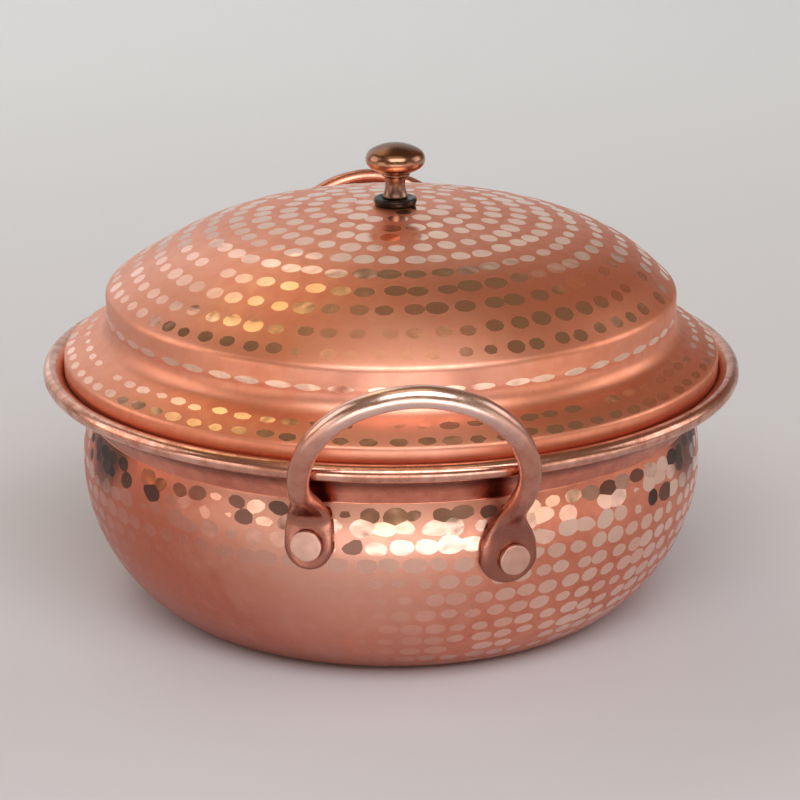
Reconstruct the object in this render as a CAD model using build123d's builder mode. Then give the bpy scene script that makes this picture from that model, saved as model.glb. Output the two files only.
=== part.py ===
from build123d import *
from math import acos, asin, atan2, cos, degrees, radians, sin, sqrt
import os

# A hammered copper cooking pot with two riveted rod handles and a domed lid.
# Millimetres, +Z up. The origin is the middle of the flat base, and the handles stand at -Y and +Y.

# Pot, all of one sheet, which is two solids that meet in the neck crease
pot_t = 1.5
rim_d = 300.0
base_d = 182.6
base_corner_r = 23.7
base_corner_turn = 38.0
neck_in = 3.6
neck_rise = 21.1
neck_crease_r = 1.0
collar_foot_turn = 67.0
collar_reach = 19.5
collar_rise = 22.0

# Wire in the rim
wire_d = 3.8
wire_gap = 0.2
seam_gap = 0.5

# Lid, of a thinner sheet
lid_t = 1.2
lid_inset = 9.1
flange_reach = 19.8
crown_r = 335.0
crown_d = 134.0
dome_edge_slope = 41.6
shoulder_r = 4.0
wall_slope = 92.0
wall_len = 9.2
cove_r = 8.0
flange_slope = 27.6
edge_r = 2.4
lip_len = 6.5
seat_gap = 0.25

# Knob and its fixing, on a hole that was drilled a little off the middle
knob_off = 1.8
knob_base_d = 18.4
knob_base_t = 3.3
knob_base_chamfer = 0.4
knob_seat_gap = 0.05
neck_foot_d = 11.0
neck_waist_d = 8.5
neck_top_d = 10.0
neck_len = 9.6
neck_waist_h = 5.8
ring_d = 12.4
ring_t = 1.2
cap_d = 25.4
cap_h = 13.5
cap_side_r = 4.4
cap_sink = 0.9
screw_d = 4.0
screw_gap = 0.1
screw_reach = 12.0
screw_end_gap = 1.0
screw_head_d = 8.0
screw_head_t = 2.4
screw_head_round = 0.8
washer_d = 12.0
washer_t = 1.0
washer_gap = 0.12

# Handles of round rod, their ends beaten flat into pads
rod_d = 9.0
arch_r = 44.5
arch_lean = 26.0
arch_stand = 21.5
arch_rise = 35.8
rivet_turn = 17.4
pad_t = 3.0
pad_gap = 0.1
pad_drop = 10.0
blade_end_rise = 1.5
blade_widths = (0.62, 0.84)
blade_stations = (0.36, 0.70)
blade_thicknesses = (3.7, 2.4)
blade_end_width = 0.46
blade_end_thickness = 0.42

# Rivets
rivet_d = 5.0
rivet_gap = 0.1
rivet_head_d = 12.2
rivet_head_t = 1.9
rivet_head_round = 0.6
rivet_dish = 0.3
dish_gap = 0.3
inner_head_d = 9.2
inner_head_t = 1.8
inner_head_gap = 0.2

# Each foot of each handle: how far its rivet lies above the belly's widest place, its pad's width and how
# far the pad lies sideways of the rivet
feet = {
    "front": {"left": (4.6, 20.0, 0.4), "right": (-2.6, 24.6, -1.8)},
    "rear": {"left": (2.1, 22.0, 0.8), "right": (0.1, 21.0, -0.6)},
}
handle_turns = {"front": 0.0, "rear": 180.0}

os.makedirs("parts", exist_ok=True)


def save(name, part):
    part.label = name
    export_step(part, f"parts/{name}.step")


# A sheet's side is a list of legs: a run is (length, 0), an arc is (radius, turn) with left turns positive.
def travel(legs, heading):
    x, z, a = 0.0, 0.0, radians(heading)
    for size, turn in legs:
        if turn == 0:
            x, z = x + size * cos(a), z + size * sin(a)
        else:
            b = a + radians(turn)
            side = 1 if turn > 0 else -1
            x, z = x + side * size * (sin(b) - sin(a)), z - side * size * (cos(b) - cos(a))
            a = b
    return x, z


# Draws a side of a sheet inside a BuildLine, shifted to the left of the way it goes, and returns its ends.
def draw_side(start, heading, legs, shift):
    a = radians(heading)
    here = Vector(start[0] - shift * sin(a), start[1] + shift * cos(a))
    first = here
    for size, turn in legs:
        way = Vector(cos(a), sin(a))
        if turn == 0:
            edge = Line(here, here + way * size)
        else:
            edge = JernArc(here, way, size - shift * (1 if turn > 0 else -1), turn)
            a += radians(turn)
        here = edge @ 1
    return first, here


# Draws the closed outline of a sheet's section inside a BuildLine.
def draw_sheet(start, heading, legs, shift):
    near = draw_side(start, heading, legs, 0)
    far = draw_side(start, heading, legs, shift)
    Line(near[0], far[0])
    Line(near[1], far[1])


# The pot's outer side, from the middle of the base to the seam under the rim
rim_r = wire_d / 2 + wire_gap
bead_r = rim_r + pot_t
neck_d = rim_d - 2 * collar_reach
belly_d = neck_d + 2 * neck_in

corner_legs = [(base_d / 2, 0), (base_corner_r, base_corner_turn)]
corner_x, corner_z = travel(corner_legs, 0)
side_r = (belly_d / 2 - corner_x) / (1 - sin(radians(base_corner_turn)))
belly_h = corner_z + side_r * cos(radians(base_corner_turn))
pot_shoulder_r = (neck_rise**2 + neck_in**2) / (2 * neck_in)
pot_shoulder_turn = degrees(asin(neck_rise / pot_shoulder_r))
body_legs = corner_legs + [
    (side_r, 90 - base_corner_turn),
    (pot_shoulder_r, pot_shoulder_turn),
    (neck_crease_r, collar_foot_turn - 90 - pot_shoulder_turn),
]
foot_x, foot_z = travel(body_legs, 0)
rim_h = belly_h + neck_rise + collar_rise
bead_x = rim_d / 2 - bead_r
bead_h = rim_h - bead_r

# The collar is the one arc that leaves the crease at its slope and runs smoothly into the wire's curl.
foot_way = radians(collar_foot_turn)
to_bead = (bead_x - foot_x, bead_h - foot_z)
collar_r = (to_bead[0] ** 2 + to_bead[1] ** 2 - rim_r**2) / 2
collar_r /= to_bead[0] * sin(foot_way) - to_bead[1] * cos(foot_way) - rim_r
collar_x = foot_x + collar_r * sin(foot_way)
collar_z = foot_z - collar_r * cos(foot_way)
collar_top_turn = degrees(atan2(bead_h - collar_z, bead_x - collar_x)) - 90
seam_reach = collar_r - seam_gap
seam_cos = (seam_reach**2 - (collar_r - rim_r) ** 2 - bead_r**2) / (2 * bead_r * (collar_r - rim_r))
curl_turn = 360 - degrees(acos(seam_cos))
collar_legs = [(collar_r, collar_top_turn - collar_foot_turn), (rim_r, -curl_turn)]


# Radius of the belly's outer side at a height between the base corner and the neck, and its slope there
def belly_at(h):
    arc_r = side_r if h < belly_h else pot_shoulder_r
    tilt = asin((h - belly_h) / arc_r)
    return belly_d / 2 - arc_r + arc_r * cos(tilt), tilt


# The plane that lies on the belly's outer side at a rivet, facing outwards
def rivet_plane(handle_name, side, h):
    turn = radians(handle_turns[handle_name] + (-rivet_turn if side == "left" else rivet_turn))
    reach, tilt = belly_at(h)
    return Plane(
        origin=(reach * sin(turn), -reach * cos(turn), h),
        x_dir=(cos(turn), sin(turn), 0),
        z_dir=(sin(turn) * cos(tilt), -cos(turn) * cos(tilt), sin(tilt)),
    )


with BuildPart() as pot_body:
    with BuildSketch(Plane.XZ):
        with BuildLine():
            draw_sheet((0, 0), 0, body_legs, pot_t)
        make_face()
    revolve(axis=Axis.Z)
    for handle_name, pair in feet.items():
        for side, (rise, _, _) in pair.items():
            with BuildSketch(rivet_plane(handle_name, side, belly_h + rise)):
                Circle(rivet_d / 2 + rivet_gap)
            extrude(amount=2 * pot_t, both=True, mode=Mode.SUBTRACT)
save("pot_body", pot_body.part)

with BuildPart() as pot_collar:
    with BuildSketch(Plane.XZ):
        with BuildLine():
            draw_sheet((foot_x, foot_z), collar_foot_turn, collar_legs, pot_t)
        make_face()
    revolve(axis=Axis.Z)
save("pot_collar", pot_collar.part)

with BuildPart() as rim_wire:
    with BuildSketch(Plane.XZ):
        with Locations((bead_x, bead_h)):
            Circle(wire_d / 2)
    revolve(axis=Axis.Z)
save("rim_wire", rim_wire.part)

# How far the rivets' heads lie from the wall's outer side, the outer head in a dish of the pad
head_out = pad_gap + pad_t - rivet_dish
inner_in = -pot_t - inner_head_gap

# Each handle is made at the front, and the rear one is turned round afterwards.
lean = radians(arch_lean)
arch_foot_reach = rim_d / 2 + arch_stand - arch_r * sin(lean)
arch_foot_h = rim_h + arch_rise - arch_r * cos(lean)
arch_plane = Plane(
    origin=(0, -arch_foot_reach, arch_foot_h), x_dir=(1, 0, 0), z_dir=(0, -cos(lean), -sin(lean))
)


# A section of the flattened blade between the rod and the pad, a share t of the way down. The blade leaves
# along the rod's own line, arrives straight down along the wall, and turns to face away from the pot's axis.
def blade_plane(side, end_h, shift, t):
    sign = -1 if side == "left" else 1
    turn = sign * radians(rivet_turn)
    reach = belly_at(end_h)[0] + pad_gap + pad_t / 2
    start = Vector(sign * arch_r, -arch_foot_reach, arch_foot_h)
    end = Vector(reach * sin(turn), -reach * cos(turn), end_h) + Vector(cos(turn), sin(turn)) * shift
    pull = (end - start).length
    start_way = Vector(0, sin(lean), -cos(lean)) * pull
    end_way = Vector(0, 0, -pull)
    place = start * (2 * t**3 - 3 * t**2 + 1) + start_way * (t**3 - 2 * t**2 + t)
    place += end * (3 * t**2 - 2 * t**3) + end_way * (t**3 - t**2)
    way = (end - start) * (6 * t - 6 * t**2)
    way += start_way * (3 * t**2 - 4 * t + 1) + end_way * (3 * t**2 - 2 * t)
    return Plane(origin=place, x_dir=(cos(turn * t), sin(turn * t), 0), z_dir=way)


for handle_name, pair in feet.items():
    with BuildPart() as handle:
        with BuildLine(arch_plane) as arch:
            CenterArc((0, 0), arch_r, 0, 180)
        with BuildSketch(Plane(origin=arch.line @ 0, z_dir=arch.line % 0)):
            Circle(rod_d / 2)
        sweep(path=arch.line)

        for side, (rise, pad_w, pad_shift) in pair.items():
            rivet_h = belly_h + rise
            end_h = rivet_h + rivet_head_d / 2 + blade_end_rise
            with BuildSketch(blade_plane(side, end_h, pad_shift, 0)):
                Circle(rod_d / 2)
            for t, width, thickness in zip(blade_stations, blade_widths, blade_thicknesses):
                with BuildSketch(blade_plane(side, end_h, pad_shift, t)):
                    Ellipse(pad_w / 2 * width, thickness)
            with BuildSketch(blade_plane(side, end_h, pad_shift, 1)):
                Ellipse(pad_w * blade_end_width, pad_t * blade_end_thickness)
            loft()

            # The pad is a slice of a shell that lies on the wall, cut to a rounded outline.
            with BuildPart(mode=Mode.PRIVATE) as shell:
                with BuildSketch(Plane.XZ):
                    with BuildLine():
                        low = base_corner_turn - 90
                        high = pot_shoulder_turn
                        ends = []
                        for gap in (pad_gap, pad_gap + pad_t):
                            a = CenterArc((belly_d / 2 - side_r, belly_h), side_r + gap, low, -low)
                            b = CenterArc(
                                (belly_d / 2 - pot_shoulder_r, belly_h), pot_shoulder_r + gap, 0, high
                            )
                            ends.append((a @ 0, b @ 1))
                        Line(ends[0][0], ends[1][0])
                        Line(ends[0][1], ends[1][1])
                    make_face()
                revolve(axis=Axis.Z)
                with BuildSketch(rivet_plane("front", side, rivet_h)):
                    with Locations((pad_shift, 0)):
                        Ellipse(pad_w / 2, pad_drop)
                    with Locations((pad_shift, (end_h - rivet_h) / 2)):
                        Rectangle(pad_w, end_h - rivet_h)
                extrude(amount=pad_w, both=True, mode=Mode.INTERSECT)
            add(shell.part)

            # The rivet's hole, and the flat dish that its head sits in
            with BuildSketch(rivet_plane("front", side, rivet_h)):
                Circle(rivet_d / 2 + rivet_gap)
            extrude(amount=pad_w, mode=Mode.SUBTRACT)
            with BuildSketch(rivet_plane("front", side, rivet_h).offset(head_out)):
                Circle(rivet_head_d / 2 + dish_gap)
            extrude(amount=pad_w, mode=Mode.SUBTRACT)
    save(f"{handle_name}_handle", handle.part.rotate(Axis.Z, handle_turns[handle_name]))

# Rivets, headed over on both sides
for handle_name, pair in feet.items():
    for side, (rise, _, _) in pair.items():
        plane = rivet_plane(handle_name, side, belly_h + rise)
        with BuildPart() as rivet:
            with BuildSketch(plane.offset(inner_in)):
                Circle(rivet_d / 2)
            extrude(amount=head_out - inner_in)
            with BuildSketch(plane.offset(inner_in)):
                Circle(inner_head_d / 2)
            extrude(amount=-inner_head_t)
            with BuildSketch(plane.offset(head_out)):
                Circle(rivet_head_d / 2)
            extrude(amount=rivet_head_t)
            fillet(rivet.edges().sort_by(Axis(plane.origin, plane.z_dir))[-1], rivet_head_round)
        save(f"{handle_name}_{side}_rivet", rivet.part)

# The lid's outer side, from the middle of the dome to the end of its lip
lid_d = rim_d - 2 * lid_inset
dome_d = lid_d - 2 * flange_reach
crown_turn = degrees(asin(crown_d / 2 / crown_r))
brow_r = (dome_d - crown_d) / 2 / (sin(radians(dome_edge_slope)) - sin(radians(crown_turn)))
dome_legs = [
    (crown_r, -crown_turn),
    (brow_r, crown_turn - dome_edge_slope),
    (shoulder_r, dome_edge_slope - wall_slope),
    (wall_len, 0),
    (cove_r, wall_slope - flange_slope),
]
cove_x = travel(dome_legs, 0)[0]
edge_x = edge_r * (1 - sin(radians(flange_slope)))
flange_len = (lid_d / 2 - edge_x - cove_x) / cos(radians(flange_slope))
lid_legs = dome_legs + [(flange_len, 0), (edge_r, flange_slope - 90), (lip_len, 0)]

# The lip's outer corner seats on the inside of the collar.
seat_h = collar_z + sqrt((collar_r + pot_t + seat_gap) ** 2 - (lid_d / 2 - collar_x) ** 2)
dome_top = seat_h - travel(lid_legs, 0)[1]
knob_h = dome_top + knob_seat_gap

with BuildPart() as lid_shell:
    with BuildSketch(Plane.XZ):
        with BuildLine():
            draw_sheet((0, dome_top), 0, lid_legs, -lid_t)
        make_face()
    revolve(axis=Axis.Z)
    with BuildSketch(Plane.XY.offset(seat_h)):
        with Locations((knob_off, 0)):
            Circle(screw_d / 2 + screw_gap)
    extrude(amount=dome_top, mode=Mode.SUBTRACT)
save("lid_shell", lid_shell.part)

with BuildPart() as knob_base:
    with BuildSketch(Plane.XY.offset(knob_h)):
        with Locations((knob_off, 0)):
            Circle(knob_base_d / 2)
            Circle(screw_d / 2 + screw_gap, mode=Mode.SUBTRACT)
    extrude(amount=knob_base_t)
    chamfer(knob_base.edges().filter_by(GeomType.CIRCLE).group_by(SortBy.RADIUS)[-1], knob_base_chamfer)
save("knob_base", knob_base.part)

# The knob is turned: a waisted neck, a thin ring, and a cap like a flattened ball.
neck_h0 = knob_h + knob_base_t
ring_h = neck_h0 + neck_len
cap_mid_h = ring_h + ring_t - cap_sink + cap_h / 2
cap_side_x = cap_d / 2 - cap_side_r
cap_top_r = (cap_side_x**2 + cap_h**2 / 4 - cap_side_r**2) / (cap_h - 2 * cap_side_r)
cap_top_turn = degrees(asin(cap_side_x / (cap_top_r - cap_side_r)))
with BuildPart() as knob:
    with BuildSketch(Plane.XZ):
        with BuildLine():
            Line((0, neck_h0), (neck_foot_d / 2, neck_h0))
            ThreePointArc(
                (neck_foot_d / 2, neck_h0),
                (neck_waist_d / 2, neck_h0 + neck_waist_h),
                (neck_top_d / 2, ring_h),
            )
            Polyline(
                (neck_top_d / 2, ring_h), (ring_d / 2, ring_h), (ring_d / 2, ring_h + ring_t),
                (0, ring_h + ring_t), (0, neck_h0),
            )
        make_face()
        with BuildLine():
            CenterArc((0, cap_mid_h + cap_h / 2 - cap_top_r), cap_top_r, 90 - cap_top_turn, cap_top_turn)
            CenterArc((cap_side_x, cap_mid_h), cap_side_r, cap_top_turn - 90, 180 - 2 * cap_top_turn)
            CenterArc((0, cap_mid_h - cap_h / 2 + cap_top_r), cap_top_r, -90, cap_top_turn)
            Line((0, cap_mid_h - cap_h / 2), (0, cap_mid_h + cap_h / 2))
        make_face()
        with Locations((0, neck_h0)):
            Rectangle(screw_d + 2 * screw_gap, 2 * (screw_reach + screw_end_gap), mode=Mode.SUBTRACT)
    revolve(axis=Axis.Z)
save("knob", knob.part.translate((knob_off, 0, 0)))

under_h = dome_top - lid_t - washer_gap
with BuildPart() as knob_washer:
    with BuildSketch(Plane.XY.offset(under_h - washer_t)):
        with Locations((knob_off, 0)):
            Circle(washer_d / 2)
            Circle(screw_d / 2 + screw_gap, mode=Mode.SUBTRACT)
    extrude(amount=washer_t)
save("knob_washer", knob_washer.part)

with BuildPart() as knob_screw:
    with BuildSketch(Plane.XY.offset(under_h - washer_t)):
        with Locations((knob_off, 0)):
            Circle(screw_d / 2)
    extrude(amount=neck_h0 + screw_reach - under_h + washer_t)
    with BuildSketch(Plane.XY.offset(under_h - washer_t - screw_head_t)):
        with Locations((knob_off, 0)):
            Circle(screw_head_d / 2)
    extrude(amount=screw_head_t)
    fillet(knob_screw.edges().filter_by(GeomType.CIRCLE).sort_by(Axis.Z)[0], screw_head_round)
save("knob_screw", knob_screw.part)

print(f"belly {belly_h:.1f}, bead {bead_h:.1f}, seat {seat_h:.2f}, dome top {dome_top:.2f}")
print(f"collar radius {collar_r:.1f}, curl {curl_turn:.1f}")
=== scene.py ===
import random
from math import asin, atan2, cos, degrees, pi, radians, sin, sqrt

import bmesh
import bpy
from mathutils import Matrix, Vector, noise
from mathutils.kdtree import KDTree


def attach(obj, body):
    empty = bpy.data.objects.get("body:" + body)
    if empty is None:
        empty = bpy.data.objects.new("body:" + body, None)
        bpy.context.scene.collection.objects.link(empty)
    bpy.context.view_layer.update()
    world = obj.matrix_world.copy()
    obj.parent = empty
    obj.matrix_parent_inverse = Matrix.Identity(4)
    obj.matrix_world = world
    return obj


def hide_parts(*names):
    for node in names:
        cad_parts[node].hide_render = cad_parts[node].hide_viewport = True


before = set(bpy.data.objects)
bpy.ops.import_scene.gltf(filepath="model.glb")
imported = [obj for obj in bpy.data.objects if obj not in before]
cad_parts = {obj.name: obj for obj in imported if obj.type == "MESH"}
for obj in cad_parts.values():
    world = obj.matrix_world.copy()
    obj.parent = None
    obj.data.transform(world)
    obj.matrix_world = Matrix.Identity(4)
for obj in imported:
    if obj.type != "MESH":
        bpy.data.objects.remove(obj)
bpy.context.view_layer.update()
mm = 0.001
print("frame loaded")


# Materials
def newGroup(name, inputs, outputs):
    group = bpy.data.node_groups.new(name, "ShaderNodeTree")
    for label, kind, value in inputs:
        group.interface.new_socket(label, in_out="INPUT", socket_type=kind).default_value = value
    for label, kind in outputs:
        group.interface.new_socket(label, in_out="OUTPUT", socket_type=kind)
    return group


def fill(tree, socket, value):
    if isinstance(value, bpy.types.NodeSocket):
        tree.links.new(value, socket)
    else:
        socket.default_value = value


# A value is for the socket of its name, with _ for a space, or after a first _ for the node's own property
def addNode(tree, kind, place, **values):
    node = tree.nodes.new(kind)
    node.location = place
    for key, value in values.items():
        if key[0] == "_":
            setattr(node, key[1:], value)
        else:
            fill(tree, node.inputs[key.replace("_", " ")], value)
    return node


def addMath(tree, operation, place, *terms, clamp=False):
    node = addNode(tree, "ShaderNodeMath", place, _operation=operation, _use_clamp=clamp)
    for socket, term in zip(node.inputs, terms):
        fill(tree, socket, term)
    return node.outputs["Value"]


def addRange(tree, place, value, low, high, toLow=0.0, toHigh=1.0, **more):
    node = addNode(tree, "ShaderNodeMapRange", place, **more, Value=value, From_Min=low, From_Max=high,
                   To_Min=toLow, To_Max=toHigh)
    return node.outputs["Result"]


def addMix(tree, kind, place, factor, first, second):
    return addNode(tree, "ShaderNodeMix", place, _data_type=kind, Factor=factor, A=first, B=second)


def addPlace(tree, place):
    return addNode(tree, "ShaderNodeTexCoord", place).outputs["Object"]


# Beaten copper: drifting tarnish, small mottling, fine grain and a few pits
def makeBeatenMetal():
    group = newGroup(
        "beatenMetal",
        [
            ("Clean", "NodeSocketColor", (0.9, 0.6, 0.45, 1)),
            ("Tarnished", "NodeSocketColor", (0.7, 0.3, 0.2, 1)),
            ("Drift Scale", "NodeSocketFloat", 14.0),
            ("Mottle Scale", "NodeSocketFloat", 160.0),
            ("Mottle", "NodeSocketFloat", 0.4),
            ("Pits", "NodeSocketFloat", 0.3),
            ("Rough Low", "NodeSocketFloat", 0.2),
            ("Rough High", "NodeSocketFloat", 0.4),
        ],
        [("Color", "NodeSocketColor"), ("Roughness", "NodeSocketFloat"), ("Height", "NodeSocketFloat")],
    )
    inlet = addNode(group, "NodeGroupInput", (-1000, 0)).outputs
    place = addPlace(group, (-1000, 300))
    drift = addNode(group, "ShaderNodeTexNoise", (-700, 400), Vector=place, Scale=inlet["Drift Scale"],
                    Detail=3.0, Roughness=0.55)
    mottle = addNode(group, "ShaderNodeTexNoise", (-700, 150), Vector=place, Scale=inlet["Mottle Scale"],
                     Detail=4.0, Roughness=0.6)
    grain = addNode(group, "ShaderNodeTexNoise", (-700, -100), Vector=place, Scale=2200.0, Detail=2.0)
    pits = addNode(group, "ShaderNodeTexVoronoi", (-700, -350), Vector=place, Scale=240.0, Randomness=1.0)
    driftMask = addRange(group, (-450, 400), drift.outputs["Fac"], 0.35, 0.68)
    driftShare = addMath(group, "MULTIPLY", (-250, 400), driftMask, 0.6)
    mottleMask = addRange(group, (-450, 150), mottle.outputs["Fac"], 0.38, 0.66)
    mottleShare = addMath(group, "MULTIPLY", (-250, 150), mottleMask, inlet["Mottle"])
    tarnish = addMath(group, "ADD", (-80, 300), driftShare, mottleShare, clamp=True)

    # Only one cell in five has its pit.
    cell = addNode(group, "ShaderNodeSeparateColor", (-700, -600), Color=pits.outputs["Color"])
    chosen = addMath(group, "GREATER_THAN", (-450, -560), cell.outputs["Red"], 0.8)
    pitMask = addRange(group, (-450, -350), pits.outputs["Distance"], 0.16, 0.04)
    pitShare = addMath(group, "MULTIPLY", (-250, -400), pitMask, chosen)
    pitShare = addMath(group, "MULTIPLY", (-80, -400), pitShare, inlet["Pits"])

    tone = addMix(group, "RGBA", (150, 300), tarnish, inlet["Clean"], inlet["Tarnished"])
    pitted = addMix(group, "RGBA", (400, 250), pitShare, tone.outputs["Result"], (0.12, 0.05, 0.03, 1))
    rough = addRange(group, (400, 0), tarnish, 0.0, 1.0, inlet["Rough Low"], inlet["Rough High"])
    grained = addMath(group, "MULTIPLY_ADD", (400, -250), grain.outputs["Fac"], 0.25, mottle.outputs["Fac"])
    addNode(group, "NodeGroupOutput", (900, 0), Color=pitted.outputs["Result"], Roughness=rough,
            Height=addMath(group, "SUBTRACT", (600, -300), grained, pitShare))
    return group


# A soft, ragged spot round a point, repeated to all four sides of the axis where Mirror is 1
def makeSpotMask():
    group = newGroup(
        "spotMask",
        [
            ("Centre", "NodeSocketVector", (0, 0, 0)),
            ("Inner", "NodeSocketFloat", 0.01),
            ("Outer", "NodeSocketFloat", 0.03),
            ("Mirror", "NodeSocketFloat", 0.0),
        ],
        [("Mask", "NodeSocketFloat")],
    )
    inlet = addNode(group, "NodeGroupInput", (-1000, 0)).outputs
    place = addPlace(group, (-1000, 300))
    folded = addNode(group, "ShaderNodeVectorMath", (-800, 200), _operation="ABSOLUTE")
    fill(group, folded.inputs[0], place)
    either = addMix(group, "VECTOR", (-600, 250), inlet["Mirror"], place, folded.outputs["Vector"])
    away = addNode(group, "ShaderNodeVectorMath", (-400, 200), _operation="DISTANCE")
    fill(group, away.inputs[0], either.outputs["Result"])
    fill(group, away.inputs[1], inlet["Centre"])
    ragged = addNode(group, "ShaderNodeTexNoise", (-600, -150), Vector=place, Scale=70.0, Detail=4.0,
                     Roughness=0.6)
    wander = addRange(group, (-400, -100), ragged.outputs["Fac"], 0.0, 1.0, 0.55, 1.45)
    reach = addMath(group, "MULTIPLY", (-150, 100), away.outputs["Value"], wander)
    fade = addRange(group, (200, 0), reach, inlet["Inner"], inlet["Outer"], 1.0, 0.0,
                    _interpolation_type="SMOOTHSTEP")
    addNode(group, "NodeGroupOutput", (600, 0), Mask=fade)
    return group


beatenMetal = makeBeatenMetal()
spotMask = makeSpotMask()


# Lays a colour over a material's own, below the painted shade of dark facets where it has that
def tintBase(material, mask, colour, share):
    tree = material.node_tree
    darkened = tree.nodes.get("darkened")
    base = darkened.inputs["A"] if darkened else tree.nodes["Principled BSDF"].inputs["Base Color"]
    part = addMath(tree, "MULTIPLY", (-200, 1200), mask, share)
    tinted = addMix(tree, "RGBA", (0, 1000), part, base.links[0].from_socket, (*colour, 1))
    fill(tree, base, tinted.outputs["Result"])


def addSpot(material, centre, inner, outer, colour, share, mirror=0.0):
    spot = addNode(material.node_tree, "ShaderNodeGroup", (-500, 1200), _node_tree=spotMask, Centre=centre,
                   Inner=inner, Outer=outer, Mirror=mirror)
    tintBase(material, spot.outputs["Mask"], colour, share)


def addBand(material, none, full, colour, share):
    tree = material.node_tree
    split = addNode(tree, "ShaderNodeSeparateXYZ", (-900, 1200), Vector=addPlace(tree, (-1100, 1200)))
    tintBase(material, addRange(tree, (-700, 1200), split.outputs["Z"], none, full), colour, share)


def newMaterial(name):
    material = bpy.data.materials.new(name)
    material.use_nodes = True
    return material, material.node_tree, material.node_tree.nodes["Principled BSDF"].inputs


def metalMaterial(name, clean, tarnished, rough, drift=14.0, mottleScale=160.0, mottle=0.4, bump=0.1):
    material, tree, shader = newMaterial(name)
    fill(tree, shader["Metallic"], 1.0)
    metal = addNode(tree, "ShaderNodeGroup", (-500, 200), _node_tree=beatenMetal, Clean=(*clean, 1),
                    Tarnished=(*tarnished, 1), Drift_Scale=drift, Mottle_Scale=mottleScale, Mottle=mottle,
                    Rough_Low=rough[0], Rough_High=rough[1]).outputs
    relief = addNode(tree, "ShaderNodeBump", (-250, -100), Strength=bump, Distance=0.0003,
                     Height=metal["Height"])
    fill(tree, shader["Base Color"], metal["Color"])
    fill(tree, shader["Roughness"], metal["Roughness"])
    fill(tree, shader["Normal"], relief.outputs["Normal"])
    return material


# The flats of the hammer blows: each face's polish blends the ground's finish (0) and its own (1), and below
# 0 it is painted dark, as painted shade and dark reflections.
def facetMaterial(name, ground, own, dark):
    material = metalMaterial(name, *ground, bump=0.05)
    tree = material.node_tree
    shader = tree.nodes["Principled BSDF"].inputs
    metal = tree.nodes["Group"].outputs
    clean, tarnished, (smoothest, roughest) = own
    flat = addNode(tree, "ShaderNodeGroup", (-500, 600), _node_tree=beatenMetal, Clean=(*clean, 1),
                   Tarnished=(*tarnished, 1), Mottle=0.25, Rough_Low=smoothest, Rough_High=roughest).outputs
    polish = addNode(tree, "ShaderNodeAttribute", (-800, 800), _attribute_name="polish").outputs["Fac"]
    colour = addMix(tree, "RGBA", (-250, 500), polish, metal["Color"], flat["Color"])
    rough = addMix(tree, "FLOAT", (-250, 300), polish, metal["Roughness"], flat["Roughness"])
    below = addRange(tree, (-500, 900), polish, 0.0, -1.0)
    darkened = addMix(tree, "RGBA", (0, 500), below, colour.outputs["Result"], (*dark, 1))
    darkened.name = "darkened"
    fill(tree, shader["Base Color"], darkened.outputs["Result"])
    fill(tree, shader["Metallic"], addRange(tree, (-250, 900), polish, -1.0, 0.0, 0.1, 1.0))
    fill(tree, shader["Specular IOR Level"], 0.2)
    fill(tree, shader["Roughness"], rough.outputs["Result"])
    place = addPlace(tree, (-1100, -300))
    dents = addNode(tree, "ShaderNodeTexNoise", (-900, -300), Vector=place, Scale=120.0, Detail=1.0)
    hollow = addNode(tree, "ShaderNodeBump", (-100, -300), Strength=0.6, Distance=0.0004,
                     Height=dents.outputs["Fac"], Normal=tree.nodes["Bump"].outputs["Normal"])
    fill(tree, shader["Normal"], hollow.outputs["Normal"])
    return material


# Near-black brown for painted shade and dark reflections: dark facets and crease spots under the neck, and
# the band under the bead
paintedShadeBrown = (0.025, 0.012, 0.009)
potFinish = {
    # clean, tarnished, roughness from and to
    "ground": ((0.80, 0.31, 0.20), (0.62, 0.20, 0.125), (0.34, 0.46)),
    "facets": ((0.92, 0.65, 0.53), (0.86, 0.54, 0.42), (0.10, 0.18)),
    # centre, inner and outer radius, colour, share, mirrored or not
    "spots": [
        ((-0.105, -0.085, 0.015), 0.05, 0.15, (0.50, 0.145, 0.09), 0.85),
        # A pale spot high on the front, just under the crease: a painted highlight
        ((-0.025, -0.130, 0.080), 0.02, 0.09, (0.90, 0.56, 0.44), 0.5),
        # Near-black spots in the crease on four sides: painted shade
        ((0.120, 0.051, 0.083), 0.011, 0.025, paintedShadeBrown, 0.75, 1.0),
    ],
}
lidFinish = {
    "ground": ((0.84, 0.35, 0.22), (0.72, 0.25, 0.14), (0.38, 0.50)),
    "facets": ((0.93, 0.64, 0.48), (0.88, 0.54, 0.38), (0.10, 0.18)),
    "spots": [
        ((-0.11, -0.03, 0.150), 0.02, 0.10, (0.68, 0.32, 0.23), 0.65),
        # A paler spot on the front of the lid's wall: a painted highlight
        ((0.0, -0.130, 0.135), 0.02, 0.06, (0.86, 0.52, 0.42), 0.45),
    ],
}


def beatenPair(name, s):
    copper = metalMaterial(name + "Copper", *s["ground"], bump=0.25)
    facet = facetMaterial(name + "Facet", s["ground"], s["facets"], paintedShadeBrown)
    for spot in s["spots"]:
        addSpot(copper, *spot)
        addSpot(facet, *spot)
    return copper, facet


potCopper, potFacet = beatenPair("pot", potFinish)
lidCopper, lidFacet = beatenPair("lid", lidFinish)
rimCopper = metalMaterial("rimCopper", (0.80, 0.45, 0.35), (0.50, 0.21, 0.14), (0.15, 0.30), drift=40.0,
                          mottle=0.6, bump=0.25)
innerCopper = metalMaterial("innerCopper", (0.88, 0.50, 0.36), (0.72, 0.34, 0.23), (0.28, 0.40), bump=0.15)
handleCopper = metalMaterial("handleCopper", (0.66, 0.31, 0.22), (0.40, 0.145, 0.10), (0.20, 0.34), bump=0.35)
addBand(handleCopper, 0.094, 0.072, (0.30, 0.11, 0.08), 0.8)
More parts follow.
